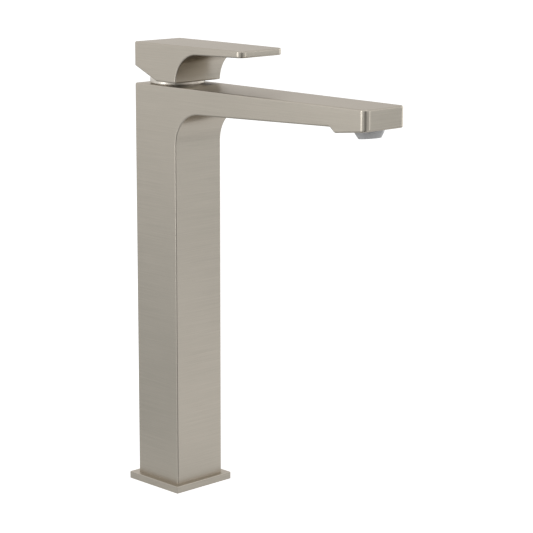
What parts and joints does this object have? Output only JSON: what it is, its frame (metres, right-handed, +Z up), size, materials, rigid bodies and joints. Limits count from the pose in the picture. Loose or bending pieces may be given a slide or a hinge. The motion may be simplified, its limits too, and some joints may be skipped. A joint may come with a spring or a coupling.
{
  "type": "basin mixer tap",
  "caption": "Tall square-column basin mixer with a long flat tapered spout, a plate lever that lifts and swivels, and a tilting aerator nozzle.",
  "frame": {"origin": "centre of the mouth of the fixing-stud socket, in the underside of the foot, on the column's axis", "axes": "+Z up along the column, -Y along the spout towards the basin, +X to the right of someone who faces the tap (cold side)"},
  "size_m": [0.055, 0.2365, 0.337],
  "materials": {
    "brushed_nickel": "fine horizontal brush marks, satin",
    "polished_nickel": "polished",
    "brass": "machined",
    "copper": "drawn tube",
    "steel": "machined",
    "ceramic_white": "lapped",
    "white_plastic": "moulded",
    "grey_plastic": "moulded, satin",
    "rubber": "moulded"
  },
  "bodies": {
    "mixer_body": {"body_shell": "brushed_nickel", "base_plate": "brushed_nickel", "collar_ring": "polished_nickel", "inlet_block": "brass", "valve_seat": "brass", "retaining_nut": "brass", "base_seal": "rubber", "pipe_seals": "rubber", "valve_seat_seal": "rubber", "cartridge_seals": "rubber", "housing_seal": "rubber", "aerator_washer": "rubber", "foot_screws": "steel", "cold_inlet_pipe": "copper", "hot_inlet_pipe": "copper", "cartridge_base": "white_plastic", "cartridge_housing": "white_plastic", "aerator_socket": "grey_plastic", "fixed_disc": "ceramic_white"},
    "rotor": {"cartridge_rotor": "grey_plastic", "lift_pin": "steel"},
    "lever": {"lever": "brushed_nickel", "spindle": "steel", "grub_screw": "steel", "screw_plug": "brushed_nickel"},
    "disc_slide": {"disc_carrier": "white_plastic", "moving_disc": "ceramic_white"},
    "nozzle": {"aerator_nozzle": "grey_plastic", "aerator_mesh": "white_plastic", "flow_disc": "white_plastic"}
  },
  "joints": [
    {"name": "lever_swivel", "type": "hinge", "parent": "mixer_body", "child": "rotor", "pos_m": [0, 0, 0.306], "axis": [0, 0, 1], "range_deg": [-45, 45]},
    {"name": "lever_lift", "type": "hinge", "parent": "rotor", "child": "lever", "pos_m": [0, 0, 0.306], "axis": [-1, 0, 0], "range_deg": [0, 22]},
    {"name": "disc_travel", "type": "slide", "parent": "rotor", "child": "disc_slide", "axis": [0, -1, 0], "range_m": [0, 0.0049]},
    {"name": "nozzle_tilt", "type": "hinge", "parent": "mixer_body", "child": "nozzle", "pos_m": [0, -0.19365, 0.29315], "axis": [1, 0, 0], "range_deg": [-5, 5]}
  ],
  "couplings": [
    {"joint": "disc_travel", "follows": "lever_lift", "m_per_rad": 0.012683}
  ]
}
